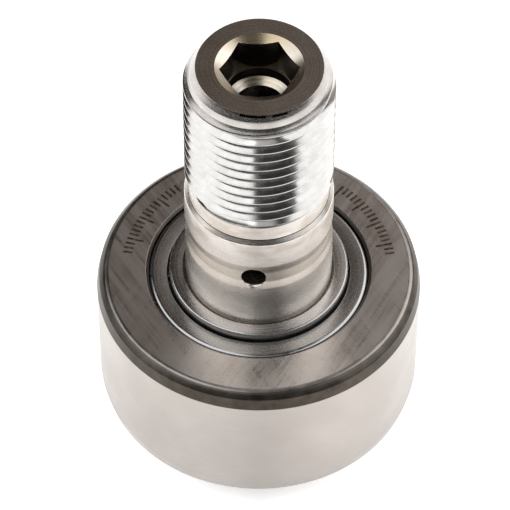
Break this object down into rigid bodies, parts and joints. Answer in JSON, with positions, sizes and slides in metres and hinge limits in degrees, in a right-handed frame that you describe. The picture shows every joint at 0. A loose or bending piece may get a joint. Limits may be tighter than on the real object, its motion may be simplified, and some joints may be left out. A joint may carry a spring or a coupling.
{
  "type": "stud-type track roller",
  "caption": "Cam follower: a thick outer ring turns on rollers round a stud with a plain shank, a lubrication hole, a fine thread and a hexagon socket at each end.",
  "frame": {"origin": "centre of the stud head's end face, which the roller stands on", "axes": "+Z along the stud, from the head towards the threaded end; the lubrication hole faces -Y, turned 4 degrees towards -X"},
  "size_m": [0.04, 0.04, 0.058],
  "materials": {
    "stud_steel": "ground shank, rolled bright thread, brown-grey turned end face",
    "washer_steel": "fine turned satin",
    "ring_steel": "ground running surface, cross-hatched face, dark turned corners",
    "seal_steel": "satin pressed sheet",
    "roller_steel": "superfinished bearing steel"
  },
  "bodies": {
    "stud_body": {"stud": "stud_steel", "thrust_washer": "washer_steel"},
    "outer_ring_body": {"outer_ring": "ring_steel", "seal_ring_shank_side": "seal_steel", "seal_ring_head_side": "seal_steel"},
    "roller_row_upper": {"roller_upper_01": "roller_steel", "roller_upper_02": "roller_steel", "roller_upper_03": "roller_steel", "roller_upper_04": "roller_steel", "roller_upper_05": "roller_steel", "roller_upper_06": "roller_steel", "roller_upper_07": "roller_steel", "roller_upper_08": "roller_steel", "roller_upper_09": "roller_steel", "roller_upper_10": "roller_steel", "roller_upper_11": "roller_steel", "roller_upper_12": "roller_steel", "roller_upper_13": "roller_steel", "roller_upper_14": "roller_steel", "roller_upper_15": "roller_steel", "roller_upper_16": "roller_steel", "roller_upper_17": "roller_steel"},
    "roller_row_lower": {"roller_lower_01": "roller_steel", "roller_lower_02": "roller_steel", "roller_lower_03": "roller_steel", "roller_lower_04": "roller_steel", "roller_lower_05": "roller_steel", "roller_lower_06": "roller_steel", "roller_lower_07": "roller_steel", "roller_lower_08": "roller_steel", "roller_lower_09": "roller_steel", "roller_lower_10": "roller_steel", "roller_lower_11": "roller_steel", "roller_lower_12": "roller_steel", "roller_lower_13": "roller_steel", "roller_lower_14": "roller_steel", "roller_lower_15": "roller_steel", "roller_lower_16": "roller_steel", "roller_lower_17": "roller_steel"}
  },
  "joints": [
    {"name": "outer_ring_spin", "type": "hinge", "parent": "stud_body", "child": "outer_ring_body", "pos_m": [0, 0, 0.0107], "axis": [0, 0, 1], "continuous": true},
    {"name": "roller_row_upper_orbit", "type": "hinge", "parent": "stud_body", "child": "roller_row_upper", "pos_m": [0, 0, 0.0151], "axis": [0, 0, 1], "continuous": true},
    {"name": "roller_row_lower_orbit", "type": "hinge", "parent": "stud_body", "child": "roller_row_lower", "pos_m": [0, 0, 0.0063], "axis": [0, 0, 1], "continuous": true}
  ],
  "couplings": [
    {"joint": "roller_row_upper_orbit", "follows": "outer_ring_spin", "ratio": 0.58696},
    {"joint": "roller_row_lower_orbit", "follows": "outer_ring_spin", "ratio": 0.58696}
  ]
}
